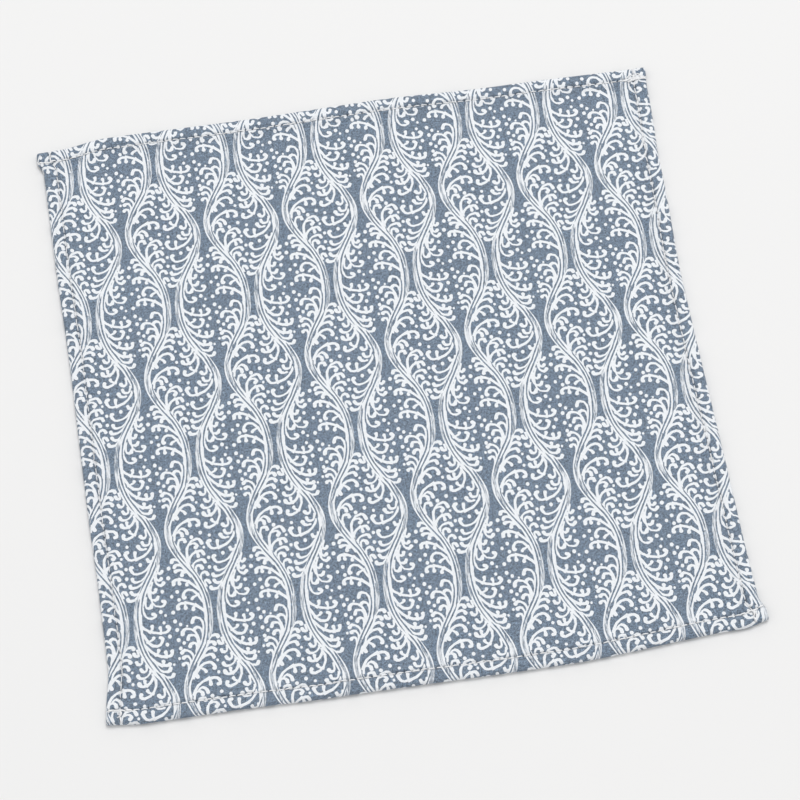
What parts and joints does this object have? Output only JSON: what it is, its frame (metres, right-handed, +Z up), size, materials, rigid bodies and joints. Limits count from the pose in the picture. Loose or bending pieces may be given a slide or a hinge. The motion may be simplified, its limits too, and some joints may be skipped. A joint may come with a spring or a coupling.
{
  "type": "towel handkerchief",
  "caption": "Square hemmed cotton towel handkerchief lying flat, with a printed face of rising wavy bands and curls.",
  "frame": {"origin": "middle of the underside, under the middle of the outline's box", "axes": "+Z up out of the printed face, +Y from the front edge to the back edge, +X to the right seen from the front"},
  "size_m": [0.2512, 0.257, 0.0031],
  "materials": {
    "printed_cotton": "dull woven cotton, slate blue-grey ground with a white print, looped pile below"
  },
  "bodies": {
    "root": {"handkerchief": "printed_cotton"}
  },
  "joints": []
}
